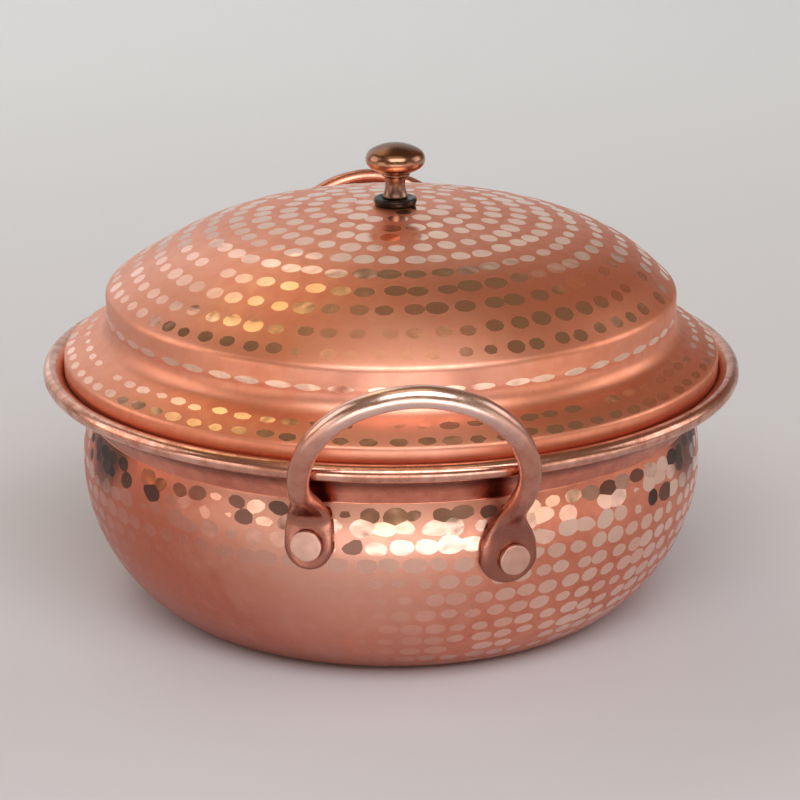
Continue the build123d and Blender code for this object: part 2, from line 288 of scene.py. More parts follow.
# A pale spot on the top of the front handle's arch: a painted highlight
addSpot(handleCopper, (0.0, -0.172, 0.136), 0.012, 0.055, (0.90, 0.68, 0.60), 0.75)
rivetCopper = metalMaterial("rivetCopper", (0.70, 0.44, 0.36), (0.56, 0.30, 0.23), (0.36, 0.46), bump=0.3)
collarCopper = metalMaterial("collarCopper", (0.84, 0.33, 0.22), (0.54, 0.17, 0.11), (0.18, 0.32), bump=0.3)
# Near-black band at the top of the collar, under the bead: painted shade
addBand(collarCopper, 0.0890, 0.0930, paintedShadeBrown, 0.65)
knobBronze = metalMaterial("knobBronze", (0.74, 0.40, 0.26), (0.40, 0.19, 0.11), (0.20, 0.32), drift=70.0,
                           mottleScale=300.0, mottle=0.3, bump=0.2)
addBand(knobBronze, 0.188, 0.196, (0.16, 0.07, 0.04), 0.85)
neckBronze = metalMaterial("neckBronze", (0.48, 0.26, 0.19), (0.14, 0.08, 0.06), (0.22, 0.36), drift=90.0,
                           mottleScale=260.0, mottle=0.5, bump=0.3)
darkBronze = metalMaterial("darkBronze", (0.07, 0.055, 0.05), (0.02, 0.022, 0.02), (0.25, 0.40), drift=90.0,
                           bump=0.4)
fixingBrass = metalMaterial("fixingBrass", (0.80, 0.60, 0.28), (0.60, 0.42, 0.20), (0.28, 0.40), drift=60.0)
wireCopper = metalMaterial("wireCopper", (0.80, 0.42, 0.28), (0.60, 0.26, 0.16), (0.30, 0.45))
print("materials made")


# Spun sheets
# A side is a list of legs: (length, 0, steps) runs straight, (radius, turn, steps) bends, left turns positive
def walkSide(start, heading, legs, shift=0.0):
    angle = radians(heading)
    x, z = start[0] - shift * sin(angle), start[1] + shift * cos(angle)
    side = [(x, z)]
    for size, turn, steps in legs:
        fromX, fromZ, fromAngle = x, z, angle
        bend = 1 if turn > 0 else -1
        for i in range(1, steps + 1):
            if turn == 0:
                x, z = fromX + size * i / steps * cos(angle), fromZ + size * i / steps * sin(angle)
            else:
                angle = fromAngle + radians(turn) * i / steps
                r = bend * (size - shift * bend)
                x = fromX + r * (sin(angle) - sin(fromAngle))
                z = fromZ - r * (cos(angle) - cos(fromAngle))
            side.append((x, z))
    return side


def smoothFaces(bm, material=0):
    for f in bm.faces:
        f.smooth = True
        f.material_index = material


# Sweeps an outline of (radius, height) points, in millimetres, round the vertical axis, ring after ring. It
# may start at the axis with a flat end, and it may end there.
def sweepRings(outline, steps, material=0):
    bm = bmesh.new()
    bm.faces.layers.float.new("polish")
    capped = outline[0][0] == 0
    r, z = outline[capped]
    ring = bmesh.ops.create_circle(bm, segments=steps, radius=r * mm, cap_ends=capped)["verts"]
    bmesh.ops.translate(bm, vec=(0, 0, z * mm), verts=ring)
    edges = list(bm.edges)
    for nextR, nextZ in outline[capped + 1:]:
        made = bmesh.ops.extrude_edge_only(bm, edges=edges)["geom"]
        ring = [g for g in made if isinstance(g, bmesh.types.BMVert)]
        edges = [g for g in made if isinstance(g, bmesh.types.BMEdge) and all(v in ring for v in g.verts)]
        bmesh.ops.scale(bm, vec=(nextR / r, nextR / r, 1), verts=ring)
        bmesh.ops.translate(bm, vec=(0, 0, (nextZ - z) * mm), verts=ring)
        r, z = nextR, nextZ
    smoothFaces(bm, material)
    return bm


join = {
    "weld": 2e-6,  # points closer than this merge
    "sliver": 1e-6,  # edges shorter than this go
    "holeSides": 6,
}


# Joins skins into the first one, closes their seams and poles, and turns their faces outwards
def joinSkins(bm, *others):
    for other in others:
        spare = bpy.data.meshes.new("spare")
        other.to_mesh(spare)
        other.free()
        bm.from_mesh(spare)
        bpy.data.meshes.remove(spare)
    bmesh.ops.remove_doubles(bm, verts=bm.verts, dist=join["weld"])
    bmesh.ops.dissolve_degenerate(bm, edges=bm.edges, dist=join["sliver"])
    bmesh.ops.holes_fill(bm, edges=[e for e in bm.edges if e.is_boundary], sides=join["holeSides"])
    bmesh.ops.recalc_face_normals(bm, faces=bm.faces)
    return bm


def sideSteps(side):
    return [sqrt((b[0] - a[0]) ** 2 + (b[1] - a[1]) ** 2) for a, b in zip(side, side[1:])]


# The point at a distance along a side
def alongSide(side, distance):
    for (aX, aZ), (bX, bZ), step in zip(side, side[1:], sideSteps(side)):
        if distance <= step:
            break
        distance -= step
    return aX + (bX - aX) * distance / step, aZ + (bZ - aZ) * distance / step


# The normal to the left of a side, taken over a short chord
def leftOfSide(side, distance, half=1.5):
    aX, aZ = alongSide(side, max(distance - half, 0))
    bX, bZ = alongSide(side, distance + half)
    return Vector((aZ - bZ, bX - aX)).normalized()


def ramp(value, none, full):
    return min(1, max(0, (value - none) / (full - none)))


def hill(value, middle, spread):
    return max(0, 1 - abs(value - middle) / spread)


blow = {
    "reach": 8.5 * mm,
    "strengths": (1, 0.6, 0.3),  # tried one after the other
    "above": 1e-7,  # what is less far above the plane is in it
    "cut": 1e-8,
    "nearest": 8,
    "facetSlot": 1,
}


# What stands above a blow's plane around its centre: vertices and the faces they are in. None if that runs on
# past the blow's reach or up to the skin's border.
def standingAbove(start, centre, on, normal):
    raised, faces, todo = set(start), set(), list(start)
    while todo:
        for f in todo.pop().link_faces:
            if f not in faces:
                faces.add(f)
                higher = [v for v in f.verts if v not in raised and (v.co - on).dot(normal) > blow["above"]]
                raised.update(higher)
                todo.extend(higher)
                if any(v.is_boundary or (v.co - centre).length > blow["reach"] for v in higher):
                    return None
    return raised, faces


# A hammer blow beats the skin down to a flat: the skin is cut along the blow's plane, and all that stands
# above the plane is laid onto it. A blow that would run on too far is made lighter, or left out.
def planish(bm, blows):
    verts = list(bm.verts)
    tree = KDTree(len(verts))
    for i, v in enumerate(verts):
        tree.insert(v.co, i)
    tree.balance()
    polish = bm.faces.layers.float["polish"]
    count = 0
    for centre, normal, depth, shine in blows:
        near = [verts[i] for _, i, _ in tree.find_n(centre, blow["nearest"])]
        for strength in blow["strengths"]:
            on = centre - normal * depth * strength
            start = [v for v in near if (v.co - on).dot(normal) > blow["above"]][:1]
            found = standingAbove(start, centre, on, normal) if start else None
            if found:
                break
        else:
            continue
        raised, faces = found
        geom = list(faces | {e for f in faces for e in f.edges} | {v for f in faces for v in f.verts})
        made = bmesh.ops.bisect_plane(bm, geom=geom, dist=blow["cut"], plane_co=on, plane_no=normal)
        for e in made["geom_cut"]:
            if isinstance(e, bmesh.types.BMEdge):
                e.smooth = False
        for f in {f for v in raised for f in v.link_faces}:
            f.smooth = False
            f.material_index = blow["facetSlot"]
            f[polish] = shine
        for v in raised:
            v.co -= normal * (v.co - on).dot(normal)
        count += 1
    return count


# Rows of blows round the axis: (distance along the side, pitch, depth, share left out, how uneven). For the
# turn from the front, the distance and a blow's chance, wear says how much is left of its depth and polish.
def blowRow(side, row, pick, s, wear):
    distance, pitch, depth, missing, uneven = (*row, 1)[:5]
    count = round(2 * pi * alongSide(side, distance)[0] / pitch)
    start = pick.random()
    blows = []
    for i in range(count):
        turn = 2 * pi * (i + start + pick.uniform(-1, 1) * s["strayAround"]) / count
        d = distance + pick.uniform(-1, 1) * s["strayAlong"] * uneven
        weight = pick.uniform(s["lightest"], s["heaviest"])
        shine = pick.uniform(s["dullest"], 1)
        chance = pick.random()
        deep, bright = wear(atan2(sin(turn), cos(turn)), d, chance)
        if chance < missing:
            continue
        weight = 1 + (weight - 1) * uneven
        x, z = alongSide(side, d)
        nX, nZ = leftOfSide(side, d)
        centre = Vector((x * sin(turn), -x * cos(turn), z)) * mm
        normal = Vector((nX * sin(turn), -nX * cos(turn), nZ))
        blows.append((centre, normal, depth * weight * deep * mm, shine * bright))
    return blows


swellFrom = Vector((0, 0, 60 * mm))


# Raises and lowers a skin before the blows. A swell is (height, size, lowest z, highest z, fading length).
def unevenSkin(bm, swells):
    for v in bm.verts:
        move = 0
        for height, size, lowZ, highZ, fade in swells:
            share = min(ramp(v.co.z / mm, lowZ, lowZ + fade), ramp(v.co.z / mm, highZ, highZ - fade))
            move += noise.noise(v.co / (size * mm)) * height * share
        v.co += (v.co - swellFrom).normalized() * move * mm


# Makes a beaten skin in bands, each swept and planished by itself, and gives them and the number of blows
def beatenBands(side, rows, s, wear):
    pick = random.Random(s["seed"])
    reached, steps = [0], sideSteps(side)
    for step in steps:
        reached.append(reached[-1] + step)
    bands, first, count = [], 0, 0
    for k in range(0, len(rows), s["rowsInBand"]):
        inBand, after = rows[k:k + s["rowsInBand"]], rows[k + s["rowsInBand"]:]
        last = len(side) - 1
        if after:
            border = (inBand[-1][0] + after[0][0]) / 2
            last = min(range(len(side)), key=lambda i: abs(reached[i] - border))
        bm = sweepRings(side[first:last + 1][::s["order"]], s["segments"])
        unevenSkin(bm, s["swells"])
        for row in inBand:
            count += planish(bm, blowRow(side, row, pick, s, wear))
        bands.append(bm)
        first = last
    return bands, count


def finishMesh(bm, name, materials):
    mesh = bpy.data.meshes.new(name)
    bm.to_mesh(mesh)
    bm.free()
    piece = bpy.data.objects.new(name, mesh)
    bpy.context.scene.collection.objects.link(piece)
    for material in materials:
        mesh.materials.append(material)
    return piece


# Pot
pot = {
    "wall": 1.5,
    "flat": 91.3,
    "baseRings": (75, 50, 25, 0),
    "corner": (23.7, 38.0),
    "bellyRadius": 134.1,
    "neckIn": 3.6,
    "neckRise": 21.1,
    "crease": 1.0,
    "collarFoot": 67.0,
    "collarReach": 19.5,
    "collarRise": 22.0,
    "curl": 2.1,
    "curlTurn": 294.5,
    "segments": 336,
    "swells": [(0.05, 19.0, 1.0, 83.5, 6.0), (0.17, 10.0, 58.0, 83.5, 8.0)],
    "rowsInBand": 3,
    "order": 1,  # 1 sweeps each band from its first ring, -1 from its last
    "seed": 7,
    "rows": [
        (4.6, 9.4, 0.080, 0.04), (9.6, 9.6, 0.075, 0.08), (17.2, 10.0, 0.090, 0.02),
        (25.3, 10.0, 0.072, 0.03), (33.2, 9.9, 0.070, 0.03), (41.2, 9.9, 0.070, 0.03),
        (49.2, 9.8, 0.070, 0.03), (57.0, 9.8, 0.068, 0.03), (65.0, 9.7, 0.066, 0.04),
        (73.0, 9.6, 0.064, 0.04), (81.0, 9.5, 0.060, 0.05), (88.4, 9.5, 0.045, 0.06),
    ],
    "strayAround": 0.10,
    "strayAlong": 0.5,
    "lightest": 0.70,
    "heaviest": 1.20,
    "dullest": 0.75,
    # where it begins and where it is full, along the side and in degrees from the front, and what it took
    "worn": {"along": (22, 36), "right": (26, -14), "left": (-86, -60), "polish": 0.92, "depth": 0.5},
    # painted shade: how far along the side, the share of blows painted dark, and how they grow more towards
    # the left and the right
    "paintedDark": {"along": 19, "share": 0.16, "turn": 67, "spread": 14, "sideAlong": 13, "sideShare": 2.6},
}
cornerR, cornerTurn = pot["corner"]
cornerX = pot["flat"] + cornerR * sin(radians(cornerTurn))
sideR = (pot["bellyRadius"] - cornerX) / (1 - sin(radians(cornerTurn)))
bellyH = cornerR * (1 - cos(radians(cornerTurn))) + sideR * cos(radians(cornerTurn))
shoulderR = (pot["neckRise"] ** 2 + pot["neckIn"] ** 2) / (2 * pot["neckIn"])
shoulderTurn = degrees(asin(pot["neckRise"] / shoulderR))


# The legs of the collar, which starts where the crease ends, and of its curl round the wire
def collarLegs(s, footX, footZ):
    toX = s["bellyRadius"] - s["neckIn"] + s["collarReach"] - s["curl"] - s["wall"] - footX
    toZ = bellyH + s["neckRise"] + s["collarRise"] - s["curl"] - s["wall"] - footZ
    way = radians(s["collarFoot"])
    r = (toX**2 + toZ**2 - s["curl"] ** 2) / 2 / (toX * sin(way) - toZ * cos(way) - s["curl"])
    topTurn = degrees(atan2(toZ + r * cos(way), toX - r * sin(way))) - 90
    return [(r, topTurn - s["collarFoot"], 9)], [(s["curl"], -s["curlTurn"], 20)]


# Worn smooth low at the front and the left, and painted dark in places under the neck as shade and dark
# reflections
def potWear(turn, distance, chance):
    worn, paintedDark = pot["worn"], pot["paintedDark"]
    rubbed = ramp(degrees(turn), *worn["right"]) * ramp(degrees(turn), *worn["left"])
    rubbed *= ramp(distance, *worn["along"])
    bright = 1 - worn["polish"] * rubbed
    side = hill(degrees(abs(turn)), paintedDark["turn"], paintedDark["spread"])
    darkened = paintedDark["share"] + paintedDark["sideShare"] * side * hill(distance, 0, paintedDark["sideAlong"])
    if distance < paintedDark["along"] and chance > 1 - darkened:
        bright = -1 if side else -chance
    return 1 - worn["depth"] * rubbed, bright


def makePot(s):
    corner = [(cornerR, cornerTurn, 9)]
    side = [(sideR, 90 - cornerTurn, 39), (shoulderR, shoulderTurn, 13)]
    crease = [(s["crease"], s["collarFoot"] - 90 - shoulderTurn, 4)]
    skinPath = walkSide((s["flat"], 0), 0, corner + side)[::-1]
    outward = 90 + shoulderTurn
    footX, footZ = walkSide(skinPath[0], outward, crease)[-1]
    collar, curl = collarLegs(s, footX, footZ)
    outside = walkSide(skinPath[0], outward, crease + collar + curl)
    few = [(s["flat"], 0, 8), (cornerR, cornerTurn, 5), (sideR, 90 - cornerTurn, 14)]
    few.append((shoulderR, shoulderTurn, 5))
    inside = walkSide((0, 0), 0, few + crease + collar + curl, s["wall"])[::-1]
    bead = curl[0][2]

    finishes = [potCopper, potFacet, rimCopper, innerCopper, collarCopper]
    bands, count = beatenBands(skinPath, s["rows"], s, potWear)
    base = sweepRings([(r, 0) for r in (s["flat"], *s["baseRings"])], s["segments"])
    outer = sweepRings(outside, s["segments"], finishes.index(collarCopper))
    rim = sweepRings([outside[-1]] + inside[:bead + 1], s["segments"], finishes.index(rimCopper))
    hollow = sweepRings(inside[bead:], s["segments"], finishes.index(innerCopper))
    bm = joinSkins(*bands, base, outer, rim, hollow)
    print(f"pot: {count} blows, {len(bm.faces)} faces")
    return finishMesh(bm, "potSkin", finishes)


potSkin = makePot(pot)
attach(potSkin, "pot")
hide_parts("pot_body", "pot_collar")

# Lid
lid = {
    "sheet": 1.2,
    "top": 171.7,
    "crown": (335.0, 67.0),  # radius, and how far out it reaches
    "domeReach": 121.1,
    "domeSlope": 41.6,
    "shoulder": 4.0,
    "wallSlope": 92.0,
    "wallLength": 9.2,
    "crest": (7.6, 9.3, 4.93, 0.1),  # low on the wall: radius, turn, length, how far above the cove
    "cove": 8.0,
    "flangeSlope": 27.6,
    "flangeBow": 5.0,
    "edge": 2.4,
    "reach": 140.9,
    "lip": 6.5,
    "segments": 320,
    "swells": [(0.016, 21.0, 112.0, 999.0, 3.0)],
    "rowsInBand": 1,
    "order": -1,
    "seed": 11,
    "rows": [
        (13.0, 10.2, 0.022, 0.0), (22.3, 10.0, 0.024, 0.02), (33.7, 10.2, 0.024, 0.02),
        (44.1, 10.2, 0.024, 0.02), (55.3, 10.3, 0.024, 0.02), (66.5, 10.4, 0.028, 0.02),
        (77.8, 10.6, 0.044, 0.02), (89.5, 10.8, 0.046, 0.02), (101.1, 11.0, 0.046, 0.02),
        (113.3, 11.0, 0.044, 0.03), (124.0, 10.8, 0.036, 0.08),
    ],
    "crestRow": (13.7, 0.13, 0.0, 0.2),
    "flangeRows": [(4.2, 10.6, 0.022, 0.06), (12.2, 10.6, 0.030, 0.06)],
    "strayAround": 0.11,
    "strayAlong": 0.6,
    "lightest": 0.70,
    "heaviest": 1.20,
    "dullest": 0.75,
    # where it is rubbed smooth: turn and its spread, distance and its spread, share of depth and polish lost
    "rubbed": (-0.12, 0.5, 118, 30, 0.4, 0.75),
    "lopsided": 1.5,
    "lopsidedFrom": (58, 102),  # radii over which it begins and ends
    "lopsidedTo": (121, 107),
}


# Rubbed smooth in the middle of the front
def lidWear(turn, distance, chance):
    middle, spread, along, length, flatter, duller = lid["rubbed"]
    front = hill(turn, middle, spread) * hill(distance, along, length)
    return 1 - flatter * front, 1 - duller * front


def makeLid(s):
    crownR, crownReach = s["crown"]
    crownTurn = degrees(asin(crownReach / crownR))
    browR = (s["domeReach"] - crownReach) / (sin(radians(s["domeSlope"])) - sin(radians(crownTurn)))
    crestR, crestTurn, crestLength, crestGap = s["crest"]
    bow = s["flangeBow"]
    dome = [(crownR, -crownTurn, 32), (browR, crownTurn - s["domeSlope"], 36)]
    wall = [(s["shoulder"], s["domeSlope"] - s["wallSlope"], 6)]
    wall.append((s["wallLength"] - crestLength - crestGap, 0, 2))
    wall += [(crestR, crestTurn, 2), (crestR, -2 * crestTurn, 4), (crestR, crestTurn, 2), (crestGap, 0, 1)]
    cove = [(s["cove"], s["wallSlope"] - s["flangeSlope"] + bow, 7)]
    coveX = walkSide((0, 0), 0, dome + wall + cove)[-1][0]
    edgeX = s["edge"] * (1 - sin(radians(s["flangeSlope"] + bow)))
    flangeR = (s["reach"] - edgeX - coveX) / cos(radians(s["flangeSlope"])) / 2 / sin(radians(bow))
    flange = [(flangeR, -2 * bow, 8)]
    lip = [(s["edge"], s["flangeSlope"] + bow - 90, 5), (s["lip"], 0, 2)]
    outside = walkSide((0, s["top"]), 0, dome + wall + cove + flange + lip)
    few = [(crownR, -crownTurn, 12), (browR, crownTurn - s["domeSlope"], 12)]
    inside = walkSide((0, s["top"]), 0, few + wall + cove + flange + lip, -s["sheet"])

    steps = sideSteps(outside)
    toWall = sum(leg[2] for leg in dome + wall)
    wallEnd, coveEnd = sum(steps[:toWall]), sum(steps[:toWall + cove[0][2]])
    rows = s["rows"] + [(wallEnd - crestGap - crestLength / 2, *s["crestRow"])]
    rows += [(coveEnd + d, *rest) for d, *rest in s["flangeRows"]]

    finishes = [lidCopper, lidFacet, innerCopper]
    bands, count = beatenBands(outside, rows, s, lidWear)
    hollow = sweepRings([outside[-1]] + inside[::-1], s["segments"], finishes.index(innerCopper))
    bm = joinSkins(*bands, hollow)

    # The dome was beaten by hand, so its brow is a little lower at -X than at +X.
    for v in bm.verts:
        r = sqrt(v.co.x**2 + v.co.y**2) / mm
        rise, fall = ramp(r, *s["lopsidedFrom"]), ramp(r, *s["lopsidedTo"])
        if rise and fall:
            share = (3 - 2 * rise) * rise**2 * (3 - 2 * fall) * fall**2
            v.co.z += s["lopsided"] * mm * share * v.co.x / (r * mm)
    print(f"lid: {count} blows, {len(bm.faces)} faces")
    return finishMesh(bm, "lidSkin", finishes)


lidSkin = makeLid(lid)
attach(lidSkin, "lid")
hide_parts("lid_shell")

# Handles
handle = {
    "rod": 9.0,
    "archRadius": 44.5,
    "lean": 26.0,
    "stand": 21.5,
    "rise": 35.8,
    "rimRadius": 150.0,
    "rimHeight": bellyH + pot["neckRise"] + pot["collarRise"],
    "rivetTurn": 17.4,
    "pad": 3.0,
    "padGap": 0.1,
    "padDrop": 10.0,
    "padRise": 7.6,
    "sides": 24,
    "steps": {"tip": 10, "pad": 6, "bend": 13, "arch": 32},
    # height above the rivet, half width, half thickness
    "leftFoot": [
        (30, 4.5, 4.5), (24, 4.9, 4.2), (20, 6.0, 3.3), (16, 7.6, 2.4), (12, 8.9, 1.8), (7, 9.7, 1.55),
        (0, 9.95, 1.5),
    ],
    "rightFoot": [
        (30, 4.5, 4.5), (24, 4.7, 4.2), (19, 5.7, 3.2), (15, 7.4, 2.4), (11, 9.9, 1.9), (7, 11.6, 1.6),
        (0, 12.1, 1.5),
    ],
    "squareFrom": (1.3, 3.3),  # width over thickness where a section begins to be square, and where it is
    "squareness": 0.8,
    "dish": (0.8, 9.5),  # depth and radius
    "dishRise": 16.0,
    "faceFrom": 1.6,  # what is farther out from the wall than this belongs to a pad's face
    "dents": [(160, 0.18), (420, 0.05)],  # how close together, how deep
}
# height above the belly's widest, shift along the wall, widening
feet = {
    "front": {"left": (4.6, 0.4, 1.0), "right": (-2.6, -1.8, 1.0)},
    "rear": {"left": (2.1, 0.8, 1.08), "right": (0.1, -0.6, 0.88)},
}
lean = radians(handle["lean"])
archReach = handle["rimRadius"] + handle["stand"] - handle["archRadius"] * sin(lean)
archH = handle["rimHeight"] + handle["rise"] - handle["archRadius"] * cos(lean)
archNormal = Vector((0, -cos(lean), -sin(lean)))


# The point of the pot's outside at a turn and height, its normal, and how far that tilts up
def onPot(turn, h):
    r = sideR if h < bellyH else shoulderR
    tilt = asin((h - bellyH) / r)
    reach = pot["bellyRadius"] - r + r * cos(tilt)
    normal = Vector((sin(turn) * cos(tilt), -cos(turn) * cos(tilt), sin(tilt)))
    return Vector((reach * sin(turn), -reach * cos(turn), h)), normal, tilt


def rivetTurn(side):
    return radians(handle["rivetTurn"]) * (-1 if side == "left" else 1)


def blendTable(table, h):
    if h >= table[0][0]:
        return table[0][1:]
    for (aH, *a), (bH, *b) in zip(table, table[1:]):
        if h >= bH:
            share = (aH - h) / (aH - bH)
            return [p + (q - p) * share for p, q in zip(a, b)]
    return table[-1][1:]


# The stations of one foot, from the pad's lower end up to the arch: place, way, outward normal, half sizes
def footStations(s, side, rise, shift, widen):
    turn = rivetTurn(side)
    rivetH = bellyH + rise
    table = s[side + "Foot"]
    across = Vector((cos(turn), sin(turn), 0))
    out = s["padGap"] + s["pad"] / 2
    steps = s["steps"]
    stations = []

    def onWall(h):
        place, normal, tilt = onPot(turn, h)
        way = Vector((-sin(turn) * sin(tilt), cos(turn) * sin(tilt), cos(tilt)))
        return place + normal * out + across * shift, way, normal

    half = table[-1][1] * widen
    for k in range(steps["tip"]):
        u = cos(pi / 2 * (k + 0.35) / steps["tip"])
        width = half * sqrt(1 - u * u)
        stations.append((*onWall(rivetH - s["padDrop"] * u), width, min(s["pad"] / 2, 0.7 + width * 0.25)))
    for k in range(1, steps["pad"]):
        h = s["padRise"] * k / steps["pad"]
        width, thick = blendTable(table, h)
        stations.append((*onWall(rivetH + h), width * widen, thick))

    # From the pad's upper end, the foot bends over to the arch's end in a smooth curve.
    end, endWay, endNormal = onWall(rivetH + s["padRise"])
    start = Vector((-s["archRadius"] if turn < 0 else s["archRadius"], -archReach, archH))
    startWay = Vector((0, -sin(lean), cos(lean)))
    pull = (start - end).length
    for k in range(steps["bend"]):
        t = k / steps["bend"]
        place = end * (2 * t**3 - 3 * t**2 + 1) + endWay * pull * (t**3 - 2 * t**2 + t)
        place += start * (3 * t**2 - 2 * t**3) + startWay * pull * (t**3 - t**2)
        way = (start - end) * (6 * t - 6 * t**2) + endWay * pull * (3 * t**2 - 4 * t + 1)
        way += startWay * pull * (3 * t**2 - 2 * t)
        normal = endNormal.lerp(archNormal, t)
        width, thick = blendTable(table, place.z - rivetH)
        stations.append((place, way.normalized(), normal, width * (widen + (1 - widen) * t), thick))
    return stations


def makeHandle(name, s):
    stations = footStations(s, "left", *feet[name]["left"])
    for k in range(s["steps"]["arch"] + 1):
        a = pi - pi * k / s["steps"]["arch"]
        out = Vector((cos(a), -sin(a) * sin(lean), sin(a) * cos(lean)))
        way = Vector((sin(a), cos(a) * sin(lean), -cos(a) * cos(lean)))
        place = Vector((0, -archReach, archH)) + out * s["archRadius"]
        stations.append((place, way, archNormal, s["rod"] / 2, s["rod"] / 2))
    for place, way, normal, width, thick in footStations(s, "right", *feet[name]["right"])[::-1]:
        stations.append((place, -way, normal, width, thick))

    bm = bmesh.new()
    ring = bmesh.ops.create_circle(bm, segments=s["sides"], radius=1)["verts"]
    here = Matrix.Identity(4)
    rings = []
    edges = list(bm.edges)
    bmesh.ops.contextual_create(bm, geom=edges)
    for i, (place, way, normal, width, thick) in enumerate(stations):
        way = way.normalized()
        normal = (normal - way * normal.dot(way)).normalized()
        across = way.cross(normal)
        there = Matrix.Translation(place * mm) @ Matrix((across, normal, way)).transposed().to_4x4()
        there = there @ Matrix.Diagonal((width * mm, thick * mm, mm, 1))
        if i:
            made = bmesh.ops.extrude_edge_only(bm, edges=edges)["geom"]
            ring = [g for g in made if isinstance(g, bmesh.types.BMVert)]
            edges = [g for g in made if isinstance(g, bmesh.types.BMEdge) and all(v in ring for v in g.verts)]
        bmesh.ops.transform(bm, matrix=there @ here.inverted(), verts=ring)
        here = there
        rings.append((ring, place, normal, width, thick))
    bmesh.ops.contextual_create(bm, geom=edges)
    bmesh.ops.recalc_face_normals(bm, faces=bm.faces)

    # The feet are beaten flat: the flatter a section, the squarer it is.
    for ring, place, normal, width, thick in rings:
        square = 1 + ramp(width / thick, *s["squareFrom"]) * s["squareness"]
        for v in ring:
            off = (v.co / mm - place).dot(normal)
            v.co += normal * (max(-thick, min(thick, off * square)) - off) * mm

    # The pads' faces are dished round the rivets, and the hammer left the whole rod a little uneven.
    depth, radius = s["dish"]
    for side in ("left", "right"):
        turn = rivetTurn(side)
        rivetAt, normal, _ = onPot(turn, bellyH + feet[name][side][0])
        for v in bm.verts:
            off = v.co / mm - rivetAt
            onPad = v.co.z / mm < rivetAt.z + s["dishRise"] and (v.co.x > 0) == (turn > 0)
            if onPad and off.dot(normal) > s["faceFrom"]:
                near = off - normal * off.dot(normal)
                v.co -= normal * (depth * max(0, 1 - (near.length / radius) ** 2) * mm)
    for v in bm.verts:
        v.co += v.normal * sum(noise.noise(v.co * close) * deep for close, deep in s["dents"]) * mm
    smoothFaces(bm)
    if name == "rear":
        bmesh.ops.rotate(bm, verts=bm.verts, cent=(0, 0, 0), matrix=Matrix.Rotation(pi, 3, "Z"))
    piece = finishMesh(bm, name + "HandleRod", [handleCopper])
    smooth = piece.modifiers.new("smooth", "SUBSURF")
    smooth.levels = smooth.render_levels = 1
    print(f"{name} handle: {len(piece.data.polygons)} faces")
    return piece


for name in ("front", "rear"):
    piece = makeHandle(name, handle)
    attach(piece, "pot")
    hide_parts(name + "_handle")

# Rivets
rivet = {
    "head": (6.3, 1.9, 0.4),  # radius, height, rounding
    "shank": 2.5,
    "innerHead": (4.6, 1.8),
    "headOut": 2.8,
    "innerIn": -1.7,
    "ragged": (1.3, 0.05),  # how many lobes, more or less, and how much of the radius
    "dents": (260, 0.16),
    "steps": 40,
}


def makeRivet(name, side, s, seed):
    turn = rivetTurn(side) + (pi if name == "rear" else 0)
    centre, normal, _ = onPot(turn, bellyH + feet[name][side][0])
    across = Vector((cos(turn), sin(turn), 0))
    r, h, edge = s["head"]
    innerR, innerH = s["innerHead"]
    out, inn = s["headOut"], s["innerIn"]
    outline = walkSide((0, out + h), 0, [(r - edge, 0, 6), (edge, -90, 4), (h - edge, 0, 2)])
    outline += [(s["shank"], out), (s["shank"], inn), (innerR, inn)]
    outline += [(innerR * cos(radians(k * 15)), inn - innerH * sin(radians(k * 15))) for k in range(1, 6)]
    outline.append((0, outline[-1][1]))
    bm = joinSkins(sweepRings(outline[::-1], s["steps"]))
    wander = Vector((seed * 3.1, seed * 1.7, 0))
    (lobes, ragged), (close, deep) = s["ragged"], s["dents"]
    for v in bm.verts:
        if v.co.z > out * mm:
            a = atan2(v.co.y, v.co.x)
            wider = noise.noise(Vector((cos(a), sin(a), seed)) * lobes) * ragged
            v.co.x *= 1 + wider
            v.co.y *= 1 + wider
            v.co.z += noise.noise(v.co * close + wander) * deep * mm
    smoothFaces(bm)
    where = Matrix((across, normal.cross(across), normal)).transposed().to_4x4()
    bmesh.ops.transform(bm, matrix=Matrix.Translation(centre * mm) @ where, verts=bm.verts)
    return finishMesh(bm, f"{name}{side.capitalize()}RivetHead", [rivetCopper])


rivetPlaces = [("front", "left"), ("front", "right"), ("rear", "left"), ("rear", "right")]
for seed, (name, side) in enumerate(rivetPlaces, 1):
    piece = makeRivet(name, side, rivet, seed)
    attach(piece, "pot")
    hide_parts(f"{name}_{side}_rivet")
print("rivets made")

# Knob
knob = {
    "off": 1.8,
    "foot": lid["top"] + 0.05,
    "base": (9.2, 3.3),  # radius, height
    "baseUnder": [(0.9, 0.0), (0.5, 0.2)],  # its worn lower edge: in from the radius, up from the foot
    "baseWide": 0.6,  # how far up it is widest
    "baseUpper": [(0.0, 0.6), (0.2, 0.4), (0.8, 0.1), (1.2, 0.0)],  # in from the radius, down from the top
    "baseDish": (7.2, 0.25, 0.4),  # radius, depth, how wide its side is
    "neck": (5.5, 4.25, 5.0, 9.6, 5.8),  # foot, waist and top radius, length, height of the waist
    "ring": (6.2, 1.2),  # radius, height
    "chamfer": 0.3,
    "arcSteps": 12,
    "cap": (12.7, 13.5, 4.4, 0.9),  # radius, height, side radius, how far it sinks onto the ring
    "bore": (2.1, 13.0),  # radius, depth
    "steps": 96,
}


